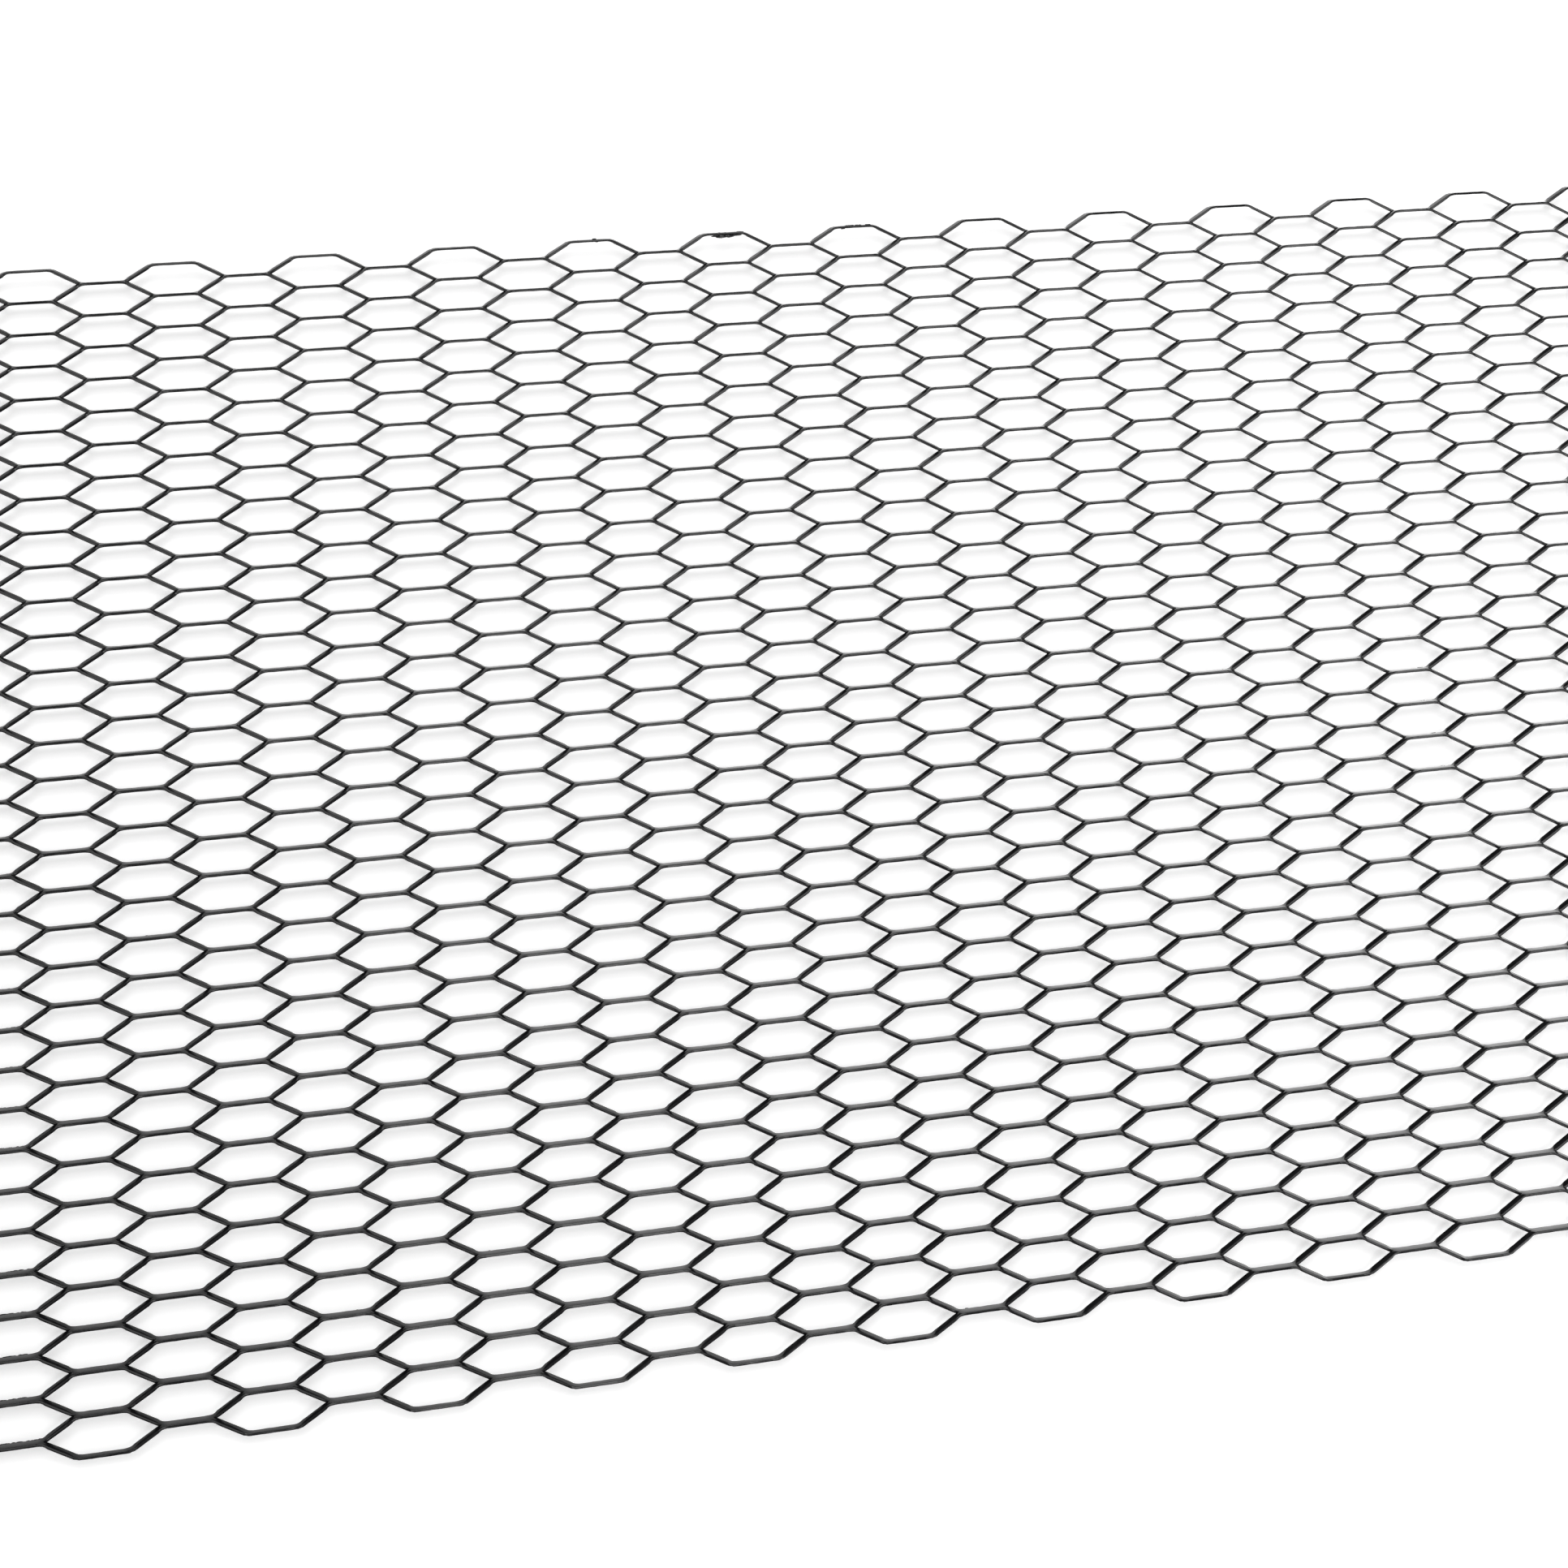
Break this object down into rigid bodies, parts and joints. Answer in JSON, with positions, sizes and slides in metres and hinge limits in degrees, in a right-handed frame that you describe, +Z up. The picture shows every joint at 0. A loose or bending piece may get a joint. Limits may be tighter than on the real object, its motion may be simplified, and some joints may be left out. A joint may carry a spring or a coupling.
{
  "type": "expanded metal grille mesh sheet",
  "caption": "Flat sheet of raised expanded metal mesh with long hexagonal openings and scalloped long edges, black coated, cut to size to fill a vehicle's grille or vent.",
  "frame": {"origin": "middle of the sheet in plan, on the plane that its lowest strand edges rest on", "axes": "+X along the sheet's length and the openings' long way, +Y across its width, +Z up out of the sheet; the bonds' low edges face +Y"},
  "size_m": [1, 0.3286, 0.0025],
  "materials": {
    "black_coat": "satin black powder coat on aluminium"
  },
  "bodies": {
    "root": {"mesh_band_1": "black_coat", "mesh_band_2": "black_coat", "mesh_band_3": "black_coat", "mesh_band_4": "black_coat", "mesh_band_5": "black_coat", "mesh_band_6": "black_coat", "mesh_band_7": "black_coat", "mesh_band_8": "black_coat"}
  },
  "joints": []
}
